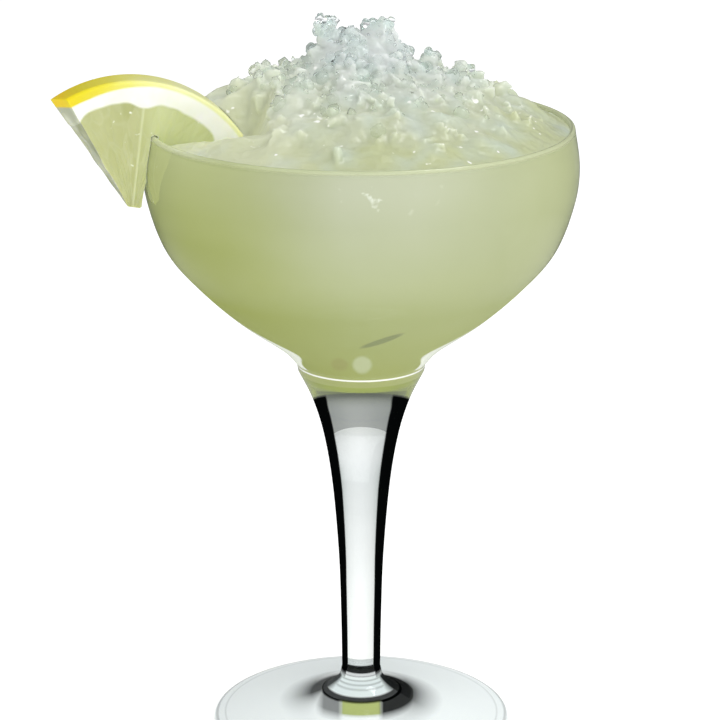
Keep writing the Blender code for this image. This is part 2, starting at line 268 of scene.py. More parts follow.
def glass_finish():
    """Clear glass, with what it bends and mirrors painted over it by height, side and slant: the stem's
    painted dark edges and painted grey middle, painted dark marks in the foot, a painted highlight on the
    crease, a rim painted pale, and the drink's edge painted in the stem's top."""
    material, tree, output = new_material("clear soda glass")
    where, (sideways, inwards, height) = place_on_piece(tree)
    waves = clouded(tree, where, 60.0, 1.0)
    bump = add(tree, "ShaderNodeBump", {"Strength": 0.05, "Distance": 0.4 * MM, "Height": waves})
    slant = tree.nodes.new("ShaderNodeLayerWeight").outputs["Facing"]

    # How far aside of the stem's middle line a point lies, by its slant, 0 to about 0.3
    flare = maths(tree, "POWER", between(tree, height, 30 * MM, 85 * MM), 2.2)
    middle = maths(tree, "MULTIPLY_ADD", flare, 0.23, 0.04)
    lean = between(tree, sideways, -3 * MM, 3 * MM, 0.02, -0.03)
    lean = maths(tree, "MULTIPLY_ADD", between(tree, height, 35 * MM, 58 * MM), -0.06, lean)
    aside = maths(tree, "SUBTRACT", maths(tree, "SUBTRACT", slant, middle), lean)
    # Painted shade: the stem goes darker towards its sides, and more so near its top, where it would bend a
    # dark room
    shaded = ramp(tree, aside, [(0.0, linear(222, 225, 226)), (0.04, linear(213, 217, 217)),
                                (0.1, linear(192, 197, 196)), (0.17, linear(178, 183, 182)),
                                (0.23, linear(158, 164, 162)), (0.27, linear(136, 142, 140))])
    top_shade = ramp(tree, aside, [(0.02, linear(255, 255, 255)), (0.07, linear(232, 235, 233)),
                                  (0.14, linear(210, 215, 213)), (0.25, linear(196, 202, 200))])

    # The stem's top is painted with the drink that it shows, and with a painted dark band below it; the
    # drink's edge there rises towards the front and the back
    tilted = maths(tree, "MULTIPLY_ADD", maths(tree, "ABSOLUTE", inwards), -0.43, height)
    tint = ramp(tree, between(tree, tilted, 64 * MM, 79 * MM), [
        (0.0, linear(252, 253, 252)), (0.7, linear(252, 254, 251)), (0.8, linear(222, 226, 216)),
        (0.87, linear(146, 153, 140)), (0.905, linear(136, 144, 126)), (0.925, linear(222, 236, 150)),
        (1.0, linear(232, 244, 170))])
    less_at_top = between(tree, height, 62 * MM, 74 * MM, 1.0, 0.5)
    shading = times(tree, between(tree, height, -20 * MM, 60 * MM), less_at_top)
    tint = blended(tree, shading, tint, shaded, blend_type="MULTIPLY")
    near_top = times(tree, between(tree, height, 66 * MM, 76 * MM),
                     between(tree, tilted, 78.5 * MM, 77.0 * MM))
    tint = blended(tree, near_top, tint, top_shade, blend_type="MULTIPLY")
    # Painted in the foot: the drink that it shows, as a yellow-green patch beside the stem, and painted grey
    # shade on the collar round the stem
    drink_painted_in_foot = times(tree, between(tree, maths(tree, "ABSOLUTE", sideways), 5.4 * MM, 4.2 * MM),
                          band(tree, height, 5.9, 6.3, 7.9, 8.2))
    collar_shade = band(tree, height, 8.4, 8.8, 12.8, 13.2)
    foot_tint = blended(tree, collar_shade, linear(236, 237, 240), linear(200, 210, 212))
    foot_tint = blended(tree, drink_painted_in_foot, foot_tint, linear(120, 132, 50))
    in_stem = band(tree, height, 11, 13, 84.7, 84.9)
    tint = blended(tree, in_stem, foot_tint, tint)

    # The glass itself, which mirrors little on the bowl's underside
    mirroring = add(tree, "ShaderNodeBsdfPrincipled", {
        "Base Color": tint, "Roughness": 0.0, "IOR": 1.5, "Transmission Weight": 1.0,
        "Normal": bump.outputs[0]})
    plain = add(tree, "ShaderNodeBsdfRefraction", {"Color": tint, "Roughness": 0.0, "IOR": 1.5})
    underside = times(tree, band(tree, height, 86, 88, 106, 116), 0.9)
    glassy = layered(tree, underside, mirroring.outputs[0], plain.outputs[0])

    # What is painted dark, as the glass would bend and mirror a dark room: the edges of the stem and the
    # cone, and the foot's patches, rings and lines
    stem_edge = times(tree, between(tree, aside, 0.265, 0.29), between(tree, tilted, 77.9 * MM, 77.3 * MM))
    cone_lean = between(tree, sideways, -6 * MM, 6 * MM, 0.03, -0.06)
    cone_edge = times(tree, between(tree, maths(tree, "SUBTRACT", slant, cone_lean), 0.4, 0.6),
                      between(tree, sideways, -9 * MM, 6 * MM, 0.9, 0.985))
    cone_edge = times(tree, cone_edge, band(tree, height, 4.5, 6.6, 11.5, 12.5))
    marks = 0.0
    blur = 0.15
    for left, right, soft, strength in ((-11.0, -4.1, 2.4, 0.72), (3.9, 12.6, 1.2, 0.97)):
        patch = times(tree, band(tree, sideways, left, left + soft, right - soft / 2, right),
                      band(tree, height, 5.4, 6.4, 7.6, 7.9))
        marks = maths(tree, "MULTIPLY_ADD", patch, strength, marks)
    for low, high, strength in ((13.1, 15.0, 0.97), (12.2, 12.5, 0.35), (11.3, 11.6, 0.45),
                                (10.4, 10.7, 0.4), (9.6, 9.9, 0.35), (7.7, 8.6, 0.94)):
        ring = band(tree, height, low - blur, low + blur, high - blur, high + blur)
        marks = maths(tree, "MULTIPLY_ADD", ring, strength, marks)
    flat = add(tree, "ShaderNodeVectorMath", {0: where, 1: (1.0, 1.0, 0.0)}, operation="MULTIPLY").outputs[0]
    from_axis = add(tree, "ShaderNodeVectorMath", {0: flat}, operation="LENGTH").outputs["Value"]
    on_foot = between(tree, height, 3 * MM, 2.9 * MM)
    for near, far, strength in ((31.3, 31.7, 0.16), (33.1, 33.7, 0.3)):
        line = band(tree, from_axis, near - blur, near + blur, far - blur, far + blur)
        marks = maths(tree, "MULTIPLY_ADD", times(tree, line, on_foot), strength, marks)
    dark = add(tree, "ShaderNodeBsdfPrincipled", {
        "Base Color": linear(3, 5, 5), "Roughness": 0.05, "IOR": 1.5, "Specular IOR Level": 0.0})
    darkness = maths(tree, "MAXIMUM", times(tree, stem_edge, in_stem),
                     maths(tree, "MAXIMUM", cone_edge, marks))
    direct = tree.nodes.new("ShaderNodeLightPath").outputs["Is Camera Ray"]
    glassy = layered(tree, times(tree, darkness, direct), glassy, dark.outputs[0])

    # What is painted pale: a painted highlight on the crease, the rim painted pale with a painted glint at
    # its left, and a painted glow on the thick glass beside the drink, low in the bowl
    pale = add(tree, "ShaderNodeBsdfPrincipled", {"Base Color": linear(250, 251, 244), "Roughness": 0.3})
    crease = times(tree, band(tree, height, 86.2, 86.35, 86.6, 86.75), 0.8)
    glassy = layered(tree, crease, glassy, pale.outputs[0])
    # Painted rim: pale, in the drink's colours, with a painted glint at its far left
    painted_rim_colour = ramp(tree, between(tree, sideways, -48 * MM, 48 * MM), [
        (0.0, linear(226, 232, 198)), (0.1, linear(216, 222, 182)), (0.2, linear(192, 200, 148)),
        (0.45, linear(201, 208, 170)), (1.0, linear(200, 206, 166))])
    painted_rim = add(tree, "ShaderNodeBsdfPrincipled", {"Base Color": painted_rim_colour, "Roughness": 0.15})
    on_rim = times(tree, between(tree, height, 139.7 * MM, 140.4 * MM), 0.7)
    glassy = layered(tree, on_rim, glassy, painted_rim.outputs[0])
    # Painted glow: pale light painted on the thick glass beside the drink, seen only straight from the camera
    thick_edge = maths(tree, "MULTIPLY_ADD", height, -14.3, maths(tree, "ADD", slant, 91 * MM * 14.3))
    thick = times(tree, between(tree, thick_edge, 0.795, 0.815), band(tree, height, 86.9, 87.4, 97, 102))
    painted_glow = add(tree, "ShaderNodeBsdfPrincipled", {
        "Base Color": linear(208, 212, 204), "Emission Color": linear(222, 226, 218),
        "Emission Strength": 0.35, "Roughness": 0.1})
    glassy = layered(tree, times(tree, times(tree, thick, direct), 0.75), glassy, painted_glow.outputs[0])

    # The underside rests on the table and lets it show
    on_table = add(tree, "ShaderNodeBsdfTransparent", {"Color": linear(241, 243, 245)})
    glassy = layered(tree, maths(tree, "LESS_THAN", height, 0.05 * MM), glassy, on_table.outputs[0])
    let_light_through(tree, glassy, linear(246, 249, 247), output)
    return material


turning = turning_tree()
bowl_wall = smooth_through(BOWL, 8)
inside_wall = bowl_inside(bowl_wall)
foot_underside = [Vector((FOOT_REST_RADIUS * k / 8, 0.0)) for k in range(8)]
foot_edge = [Vector((FOOT_REST_RADIUS + FOOT_EDGE.x * math.sin(turn), FOOT_EDGE.y * (1 - math.cos(turn))))
             for turn in [math.pi * k / 10 for k in range(10)]]
glass_profile = [
    *foot_underside, *foot_edge, *smooth_through(FOOT_TOP, 6)[:-1], *smooth_through(STEM, 10), *bowl_wall,
    *half_round(bowl_wall[-1], inside_wall[-1], GLASS_TOP - bowl_wall[-1].y, 10), *reversed(inside_wall),
]
glass = turned_piece("saucer_glass", glass_profile, GLASS_SIDES, glass_finish())
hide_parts("glass")
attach(glass, BODY)


# The drink
# Gin, lemon juice and syrup, clouded by fine ice: milky at the top, where the ice is packed, and greener
# towards the bottom; its darker olive towards the left is painted shade. It wets the glass, so it reaches
# into the wall.
DRINK_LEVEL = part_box("drink")[1][2]
WETTING = 0.5 * MM


def spot(tree, place, middle, half_size, slope=0.0):
    """A soft oval on the drink's front, given by its middle and half sizes in X and Z, in mm."""
    x = maths(tree, "SUBTRACT", place["X"], middle[0] * MM)
    z = maths(tree, "SUBTRACT", place["Z"], maths(tree, "MULTIPLY_ADD", x, slope, middle[1] * MM))
    across = maths(tree, "POWER", maths(tree, "DIVIDE", x, half_size[0] * MM), 2.0)
    upwards = maths(tree, "POWER", maths(tree, "DIVIDE", z, half_size[1] * MM), 2.0)
    oval = between(tree, maths(tree, "ADD", across, upwards), 1.2, 0.6)
    return times(tree, oval, maths(tree, "LESS_THAN", place["Y"], 0.0))


def drink_finish():
    """Dull green-yellow, darker towards the left by painted shade, paler at its far left and right edges by
    painted sheen, and milky in the middle, with pale grains of ice near the top, partly painted glints, and
    three soft marks near the bottom."""
    material, tree, output = new_material("cloudy lemon drink")
    where, place = place_on_piece(tree)
    clouds = add(tree, "ShaderNodeTexNoise", {
        "Vector": where, "Scale": 32.0, "Detail": 4.0, "Roughness": 0.55})
    drift = maths(tree, "MULTIPLY_ADD", clouds.outputs[0], 0.3, -0.15)
    across = maths(tree, "MULTIPLY_ADD", drift, 0.5, between(tree, place["X"], -48 * MM, 48 * MM))
    # Painted shade darkens the drink towards the left; painted sheen pales its far left and right edges
    colour = ramp(tree, across, [
        (0.0, linear(234, 240, 168)), (0.05, linear(170, 177, 98)), (0.2, linear(161, 168, 88)),
        (0.5, linear(173, 179, 128)), (0.8, linear(175, 180, 131)), (0.95, linear(193, 197, 150)),
        (1.0, linear(226, 231, 192))])
    # The low part's green, darker towards the left by painted shade
    green = ramp(tree, between(tree, place["X"], -20 * MM, 30 * MM), [
        (0.0, linear(157, 161, 89)), (1.0, linear(172, 176, 110))])
    low = times(tree, between(tree, place["Z"], 120 * MM, 84 * MM), 0.9)
    colour = blended(tree, low, colour, green)
    under_lemon = times(tree, between(tree, place["Z"], 121 * MM, 139 * MM),
                        between(tree, place["X"], -12 * MM, -37 * MM))
    colour = blended(tree, under_lemon, colour, linear(201, 207, 147))
    beside = maths(tree, "ABSOLUTE", maths(tree, "SUBTRACT", place["X"], 4 * MM))
    packed = times(tree, between(tree, place["Z"], 110 * MM, 136 * MM),
                   between(tree, beside, 40 * MM, 8 * MM))
    milky = times(tree, maths(tree, "ADD", packed, drift), 0.75)
    colour = blended(tree, milky, colour, linear(203, 205, 182), clamp_factor=True)
    # Grains of ice against the glass, painted pale: partly their own colour, partly painted glints
    near_glass = times(tree, between(tree, beside, 14 * MM, 5 * MM),
                       between(tree, place["Z"], 131 * MM, 135 * MM))
    grains = times(tree, between(tree, clouded(tree, where, 420.0, 3.0), 0.63, 0.7), near_glass)
    for mark, strength, shade in [
            (grains, 0.8, linear(236, 238, 222)),
            (spot(tree, place, (0.2, 92.2), (2.1, 3.4)), 0.5, linear(210, 214, 182)),
            (spot(tree, place, (-4.6, 92.0), (1.9, 2.6)), 0.45, linear(156, 150, 96)),
            (spot(tree, place, (4.3, 100.6), (4.6, 0.9), 0.45), 0.6, linear(120, 126, 96))]:
        colour = blended(tree, times(tree, mark, strength), colour, shade)
    shader = add(tree, "ShaderNodeBsdfPrincipled", {
        "Base Color": colour, "Roughness": 0.6, "IOR": 1.34, "Specular IOR Level": 0.2})
    tree.links.new(shader.outputs[0], output)
    return material


drink_wall = [p for p in bowl_inside(bowl_wall, -WETTING) if p.y < GLASS_TOP - 0.8 * MM]
drink_edge = drink_wall[-1].x
creep = [Vector((drink_edge - out * MM, DRINK_LEVEL + rise * MM)) for out, rise in ((0.8, 0.9), (2.0, 0.25))]
drink_top = [Vector(((drink_edge - 3.5 * MM) * k / 12, DRINK_LEVEL)) for k in range(12, -1, -1)]
drink = turned_piece("cloudy_drink", [*drink_wall, *creep, *drink_top], 128, drink_finish())
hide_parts("drink")
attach(drink, BODY)


# The crushed ice
# Clear ice put through a crusher and heaped by hand, wet with the drink. Low down the grains lie
# packed in it and look like one soft mass; on top they are loose, grey and clear. Nothing holds them.
ICE_BASE = DRINK_LEVEL - 0.3 * MM
ICE_RADIUS = 44.9 * MM
ICE_SHOULDER = 140.3 * MM
LEMON_BEARING = math.radians(192.0)  # of the lemon slice's plane, seen from above
OUTWARD = Vector((math.cos(LEMON_BEARING), math.sin(LEMON_BEARING), 0.0))
UP = Vector((0.0, 0.0, 1.0))
ACROSS = OUTWARD.cross(UP)
LEMON_SEAT = 138.9 * MM  # how low the heap is pressed down in front of the lemon
LEMON_END = 24.6 * MM  # how far out from the glass's axis the lemon begins
LEMON_BERTH = 5.5 * MM  # no loose chip lies nearer to the lemon's plane
MOUND_RISE = 15.0 * MM
MOUND_POWER = 1.6
PEAK_RISE = 6.0 * MM
PEAK_RADIUS = 10.0 * MM
ICE_UNEVEN = 1.2 * MM
ICE_SWELL = 7.0 * MM
# The lumps that stand out on the mound: x, y, z of the middle and the radius
LUMPS = [
    (-7.6, 1.0, 159.6, 2.2), (-9.0, 0.5, 161.8, 1.3), (-6.6, 1.0, 162.8, 1.2),
    (3.6, 1.0, 160.8, 2.8), (7.6, 0.5, 157.4, 2.0), (-1.6, -2.5, 158.0, 3.2),
    (15.0, 2.5, 154.6, 2.0), (21.8, 3.0, 152.8, 2.0), (-21.2, 2.5, 151.4, 2.3),
    (-13.8, 3.0, 152.6, 2.2), (30.0, 4.0, 147.6, 2.0), (-27.0, 4.0, 148.4, 2.1),
]


def ice_height(x, y):
    out = math.hypot(x, y)
    mound = MOUND_RISE * (1.0 - min(out / ICE_RADIUS, 1.0) ** MOUND_POWER)
    peak = PEAK_RISE * math.exp(-((out / PEAK_RADIUS) ** 4))
    calm = min(1.0, max(0.0, (ICE_RADIUS - out) / (9 * MM)))
    uneven = ICE_UNEVEN * noise.noise(Vector((x, y, 0.0)) / ICE_SWELL)
    uneven += 1.5 * MM * noise.noise(Vector((x, y, 0.3 * MM)) / (6.5 * MM))
    uneven += 0.8 * MM * noise.noise(Vector((x, y, 0.3 * MM)) / (3.0 * MM))
    height = ICE_SHOULDER + mound + peak + uneven * calm
    before = Vector((x, y, 0.0)).dot(-ACROSS)
    inwards = LEMON_END - Vector((x, y, 0.0)).dot(OUTWARD)
    room = LEMON_SEAT + 0.3 * max(0.0, before - 4 * MM) + 2.0 * max(0.0, -before) + 2.2 * max(0.0, inwards)
    above = height - room - 0.4 * uneven * calm
    return height - 0.5 * (above + math.hypot(above, 1.0 * MM))


def plain_mesh(name, shape):
    """The mesh data of a shape that is built and no longer needed itself."""
    made = bpy.data.meshes.new(name)
    shape.to_mesh(made)
    shape.free()
    return made


def heap_of_ice():
    """The mound with its lumps stuck into it. Its edge reaches just into the glass's wall."""
    mesh = bmesh.new()
    sides, rings = 128, 48
    turns = [2 * math.pi * side / sides for side in range(sides)]
    wall = [p for p in bowl_inside(bowl_wall, -0.6 * WETTING) if ICE_BASE < p.y < ICE_SHOULDER - 0.3 * MM]
    rows = []
    for out, height in [(wall[0].x, ICE_BASE), *wall]:
        rows.append([mesh.verts.new((out * math.cos(t), out * math.sin(t), height)) for t in turns])
    for ring in range(rings, 0, -1):
        out = wall[-1].x * ring / rings
        row = [(out * math.cos(t), out * math.sin(t)) for t in turns]
        rows.append([mesh.verts.new((x, y, ice_height(x, y))) for x, y in row])
    top = mesh.verts.new((0.0, 0.0, ice_height(0.0, 0.0)))
    for lower, upper in zip(rows, rows[1:]):
        for i, corner in enumerate(lower):
            mesh.faces.new((lower[i - 1], corner, upper[i], upper[i - 1]))
    for i, corner in enumerate(rows[-1]):
        mesh.faces.new((rows[-1][i - 1], corner, top))
    mesh.faces.new(rows[0])
    for x, y, z, radius in LUMPS:
        place = Matrix.Translation(Vector((x, y, z)) * MM)
        lump = bmesh.ops.create_icosphere(mesh, subdivisions=3, radius=radius * MM, matrix=place)
        for corner in lump["verts"]:
            corner.co += 0.5 * MM * noise.noise_vector(corner.co / (1.8 * MM))
    bmesh.ops.recalc_face_normals(mesh, faces=mesh.faces)
    return plain_mesh("heap_of_ice", mesh)


def scatter(tree, given, shape):
    """Instances of a shape strewn over a heap, clear of the glass's rim: more of them higher up, in sizes
    taken at random.
    """
    place = tree.nodes.new("GeometryNodeInputPosition").outputs[0]
    x, y, height = add(tree, "ShaderNodeSeparateXYZ", {0: place}).outputs
    normal = tree.nodes.new("GeometryNodeInputNormal").outputs[0]
    facing = add(tree, "ShaderNodeSeparateXYZ", {0: normal}).outputs["Z"]
    out = maths(tree, "SQRT", maths(tree, "ADD", times(tree, x, x), times(tree, y, y)))
    inside = maths(tree, "LESS_THAN", out, given["Reach"])
    aside, outward = [
        add(tree, "ShaderNodeVectorMath", {0: place, 1: way}, operation="DOT_PRODUCT").outputs["Value"]
        for way in (ACROSS, OUTWARD)]
    beside_lemon = maths(tree, "GREATER_THAN", maths(tree, "ABSOLUTE", aside), LEMON_BERTH)
    before_lemon = maths(tree, "LESS_THAN", outward, LEMON_END - 1 * MM)
    inside = times(tree, inside, maths(tree, "MAXIMUM", beside_lemon, before_lemon))
    upward = maths(tree, "GREATER_THAN", facing, 0.1)
    loose = between(tree, height, given["Wet Below"], given["Dry Above"])
    density = times(tree, loose, between(tree, clouded(tree, place, 140.0, 0.0), 0.36, 0.56))
    strewn = add(tree, "GeometryNodeDistributePointsOnFaces", {
        "Mesh": given["Geometry"], "Selection": times(tree, inside, upward),
        "Distance Min": given["Spacing"], "Density Max": 900000.0, "Density Factor": density,
        "Seed": given["Seed"]}, distribute_method="POISSON").outputs[0]
    turn, squash = [
        add(tree, "FunctionNodeRandomValue", {"Min": (low,) * 3, "Max": (high,) * 3, "Seed": seed},
            data_type="FLOAT_VECTOR").outputs[0] for low, high, seed in ((0.0, 6.283, 1), (0.5, 1.15, 3))]
    chance = add(tree, "FunctionNodeRandomValue", {2: 0.0, 3: 1.0, "Seed": 2}, data_type="FLOAT").outputs[1]
    few_large = maths(tree, "POWER", chance, 2.2)
    range_of_sizes = maths(tree, "SUBTRACT", given["Largest"], given["Smallest"])
    size = maths(tree, "MULTIPLY_ADD", few_large, range_of_sizes, given["Smallest"])
    scale = add(tree, "ShaderNodeVectorMath", {0: squash, "Scale": size}, operation="SCALE").outputs[0]
    return add(tree, "GeometryNodeInstanceOnPoints", {
        "Points": strewn, "Instance": shape, "Rotation": turn, "Scale": scale}).outputs[0]


def warp(tree, geometry, size, amount):
    """Bends real mesh by a noise, so that each chip in it gets a shape of its own."""
    here = tree.nodes.new("GeometryNodeInputPosition").outputs[0]
    bend = add(tree, "ShaderNodeTexNoise", {"Vector": here, "Scale": 1.0 / size, "Detail": 1.0})
    centred = add(tree, "ShaderNodeVectorMath", {0: bend.outputs["Color"], 1: (0.5, 0.5, 0.5)},
                  operation="SUBTRACT").outputs[0]
    push = add(tree, "ShaderNodeVectorMath", {0: centred, "Scale": amount}, operation="SCALE").outputs[0]
    return add(tree, "GeometryNodeSetPosition", {"Geometry": geometry, "Offset": push}).outputs[0]


SCATTER_INPUTS = {"Spacing": "NodeSocketFloat", "Smallest": "NodeSocketFloat", "Largest": "NodeSocketFloat",
                  "Wet Below": "NodeSocketFloat", "Dry Above": "NodeSocketFloat", "Reach": "NodeSocketFloat",
                  "Seed": "NodeSocketInt", "Finish": "NodeSocketMaterial"}


def packed_ice_tree():
    """Strews chips over the heap, then melts heap and chips into one lumpy skin."""
    tree, given = new_tree("packed ice", {**SCATTER_INPUTS, "Voxel": "NodeSocketFloat"})
    block = add(tree, "GeometryNodeMeshCube", {"Size": (2.2, 1.7, 0.9), "Vertices X": 4, "Vertices Y": 4,
                                               "Vertices Z": 3}).outputs[0]
    chips = add(tree, "GeometryNodeRealizeInstances", {0: scatter(tree, given, block)}).outputs[0]
    joined = tree.nodes.new("GeometryNodeJoinGeometry")
    tree.links.new(warp(tree, chips, 2.2 * MM, 2.0 * MM), joined.inputs[0])
    tree.links.new(given["Geometry"], joined.inputs[0])
    solid = add(tree, "GeometryNodeMeshToVolume", {
        "Mesh": joined.outputs[0], "Voxel Size": given["Voxel"], "Interior Band Width": 1.0 * MM},
        resolution_mode="VOXEL_SIZE")
    skin = add(tree, "GeometryNodeVolumeToMesh", {"Volume": solid.outputs[0], "Threshold": 0.1})
    here = tree.nodes.new("GeometryNodeInputPosition").outputs[0]
    soft = add(tree, "GeometryNodeBlurAttribute", {"Value": here, "Iterations": 2}, data_type="FLOAT_VECTOR")
    calm = add(tree, "GeometryNodeSetPosition", {"Geometry": skin.outputs[0], "Position": soft.outputs[0]})
    end_tree(tree, warp(tree, calm.outputs[0], 1.6 * MM, 0.5 * MM), given["Finish"])
    return tree


def ice_finish():
    """Packed ice takes the drink's green low down and goes grey and milky towards the top; it glows with
    painted light, and has painted glints and painted light beside the lemon.
    """
    material, tree, output = new_material("packed wet ice")
    where, place = place_on_piece(tree)
    level = maths(tree, "SUBTRACT", between(tree, place["Z"], 142 * MM, 157 * MM), 0.35)
    dry = maths(tree, "MULTIPLY_ADD", clouded(tree, where, 110.0, 2.0), 0.7, level)
    colour = ramp(tree, dry, [(0.0, linear(191, 197, 156)), (0.25, linear(196, 202, 172)),
                              (0.6, linear(203, 209, 195)), (1.0, linear(208, 213, 211))])
    cold = times(tree, between(tree, clouded(tree, where, 130.0, 1.0), 0.45, 0.75), 0.6)
    colour = blended(tree, cold, colour, linear(198, 210, 200))
    # Painted light: paler where the heap's flank beside the lemon lies in shade
    painted_light_by_lemon = times(tree, between(tree, place["X"], -6 * MM, -18 * MM), 0.4)
    colour = blended(tree, painted_light_by_lemon, colour, linear(226, 229, 204))
    # Painted glints: small near-white specks
    painted_ice_glints = between(tree, clouded(tree, where, 430.0, 1.0), 0.72, 0.77)
    colour = blended(tree, painted_ice_glints, colour, linear(255, 255, 250))
    # Painted glow: the ice glows with its own colour, painted light that evens out its shading, and its base
    # colour is dimmed to match
    base_dimmed_for_glow = blended(tree, 1.0, colour, (0.67, 0.67, 0.67, 1.0), blend_type="MULTIPLY")
    grains = add(tree, "ShaderNodeTexVoronoi", {"Vector": where, "Scale": 520.0})
    bump = add(tree, "ShaderNodeBump", {"Strength": 0.2, "Distance": 0.3 * MM, "Height": grains.outputs[0]})
    shader = add(tree, "ShaderNodeBsdfPrincipled", {
        "Base Color": base_dimmed_for_glow, "Emission Color": colour, "Emission Strength": 0.33,
        "Roughness": 0.28, "IOR": 1.31, "Subsurface Weight": 1.0,
        "Subsurface Radius": (1.0, 1.0, 0.9), "Subsurface Scale": 6.0 * MM, "Coat Weight": 0.4,
        "Coat Roughness": 0.06, "Coat IOR": 1.33, "Normal": bump.outputs[0]})
    tree.links.new(shader.outputs[0], output)
    return material


packed_ice = face_outwards(grown(
    "packed_ice", heap_of_ice(), packed_ice_tree(), spacing=2.2 * MM, smallest=0.8 * MM, largest=2.4 * MM,
    wet_below=142 * MM, dry_above=150 * MM, reach=42.0 * MM, seed=4, voxel=0.47 * MM, finish=ice_finish()))
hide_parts("crushed_ice")
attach(packed_ice, BODY)


def loose_chips_tree(name, facets):
    """Strews balls over a surface and bends them into chips, with facets of about the given size."""
    tree, given = new_tree(name, SCATTER_INPUTS)
    ball = add(tree, "GeometryNodeMeshIcoSphere", {"Radius": 1.0, "Subdivisions": 2}).outputs[0]
    chips = add(tree, "GeometryNodeRealizeInstances", {0: scatter(tree, given, ball)}).outputs[0]
    end_tree(tree, warp(tree, chips, facets, 1.4 * facets), given["Finish"])
    return tree


def frosted_finish():
    """Ice that is a little dull, and tinted by the drink low down."""
    material, tree, output = new_material("frosted ice chips")
    height = place_on_piece(tree)[1]["Z"]
    colour = ramp(tree, between(tree, height, 141 * MM, 156 * MM), [
        (0.0, linear(228, 234, 204)), (0.5, linear(236, 240, 228)), (1.0, linear(243, 246, 246))])
    shader = add(tree, "ShaderNodeBsdfPrincipled", {
        "Base Color": colour, "Roughness": 0.14, "IOR": 1.31, "Transmission Weight": 0.85})
    let_light_through(tree, shader.outputs[0], linear(236, 240, 238), output)
    return material


def clear_ice_finish():
    """Ice that thaws, bright and quite clear."""
    material, tree, output = new_material("clear ice chips")
    shader = add(tree, "ShaderNodeBsdfPrincipled", {
        "Base Color": linear(250, 253, 253), "Roughness": 0.03, "IOR": 1.31, "Transmission Weight": 1.0})
    let_light_through(tree, shader.outputs[0], linear(246, 250, 250), output)
    return material


frosted = grown("frosted_chips", packed_ice.data, loose_chips_tree("rounded chips", 1.3 * MM),
                spacing=2.2 * MM, smallest=0.6 * MM, largest=2.0 * MM, wet_below=146 * MM,
                dry_above=157 * MM, reach=41.0 * MM, seed=7, finish=frosted_finish())
clear_ice = clear_ice_finish()
clear = grown("clear_chips", packed_ice.data, loose_chips_tree("sharp chips", 0.9 * MM),
              spacing=1.5 * MM, smallest=0.4 * MM, largest=1.9 * MM, wet_below=147 * MM,
              dry_above=158 * MM, reach=42.0 * MM, seed=19, finish=clear_ice)
for chips in (frosted, clear):
    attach(chips, BODY)


# The groups of beads: x, y, z of the middle, half the width and height, all in mm, and how many
BEAD_GROUPS = [
    (-7.8, 0.5, 162.4, 1.9, 2.2, 24), (3.6, 0.5, 162.8, 3.0, 0.9, 16), (15.2, 2.0, 155.6, 1.6, 1.2, 4),
    (22.4, 2.5, 152.6, 1.8, 1.2, 7), (-28.0, 2.0, 148.2, 1.8, 1.0, 4), (-20.6, 2.0, 152.0, 2.0, 0.9, 9),
]


def melted_beads():
    """Small groups of clear beads, frozen together where the heap has thawed."""
    chance = random.Random(5)
    mesh = bmesh.new()
    for x, y, z, wide, tall, count in BEAD_GROUPS:
        for _ in range(count):
            middle = Vector((x + chance.uniform(-wide, wide), y + chance.uniform(-1.6, 1.6),
                             z + chance.uniform(-tall, tall))) * MM
            bead = bmesh.ops.create_icosphere(mesh, subdivisions=3, radius=chance.uniform(0.5, 1.1) * MM,
                                              matrix=Matrix.Translation(middle))
            for corner in bead["verts"]:
                corner.co += 0.4 * MM * noise.noise_vector(corner.co / (1.2 * MM))
    made = plain_mesh("melted_beads", mesh)
    made.shade_smooth()
    return made


beads = new_piece("melted_beads", melted_beads())
beads.data.materials.append(clear_ice)
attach(beads, BODY)


# The lemon
# A quarter of a thick slice of fresh lemon: waxy rind, white pith, and flesh in two segments with a
# skin between them. A slit is cut along that skin and pushed over the glass's rim, which holds it.
LEMON_RADIUS = 29.5 * MM
LEMON_POINT_REACH = 51.2 * MM  # of the slice's centre, out from the glass's axis
LEMON_POINT_HEIGHT = 123.9 * MM
LEMON_FROM = math.radians(34.0)  # the cut faces, up from the line towards the glass's axis
LEMON_TO = math.radians(123.5)
LEMON_THICK_AT_RIND = 8.6 * MM
LEMON_THICK_AT_POINT = 5.0 * MM
LEMON_POINT_CUT = 1.5 * MM  # the point is blunt
RIND_ROUNDING = 0.7 * MM
RIND_DEPTH = 1.0 * MM
PITH_DEPTH = 3.7 * MM
END_SLANT = math.radians(6.0)  # how far the outer cut face is turned towards the front
SEGMENT_SKIN = math.radians(83.0)  # where the skin between the two segments runs
SLIT_TOP = 141.3 * MM
SLIT_CLEARANCE = 0.1 * MM
SLIT_WIDENS_BELOW = 131 * MM
SLIT_CUTTER_FROM = 112 * MM
LEMON_ROOM = 0.08 * MM  # between the slice and the ice and drink that it is pushed into
LEMON_MIDDLE = (LEMON_FROM + LEMON_TO) / 2
LEMON_PARTS = ("flesh", "skin", "rind", "sac", "sac_edge", "end")


def half_thickness(reach):
    taper = (LEMON_THICK_AT_RIND - LEMON_THICK_AT_POINT) * reach / LEMON_RADIUS
    return (LEMON_THICK_AT_POINT + taper) / 2


def lemon_point(reach, turn, offset):
    along = math.cos(turn) * -OUTWARD + math.sin(turn) * UP
    return LEMON_POINT_REACH * OUTWARD + LEMON_POINT_HEIGHT * UP + reach * along + offset * ACROSS


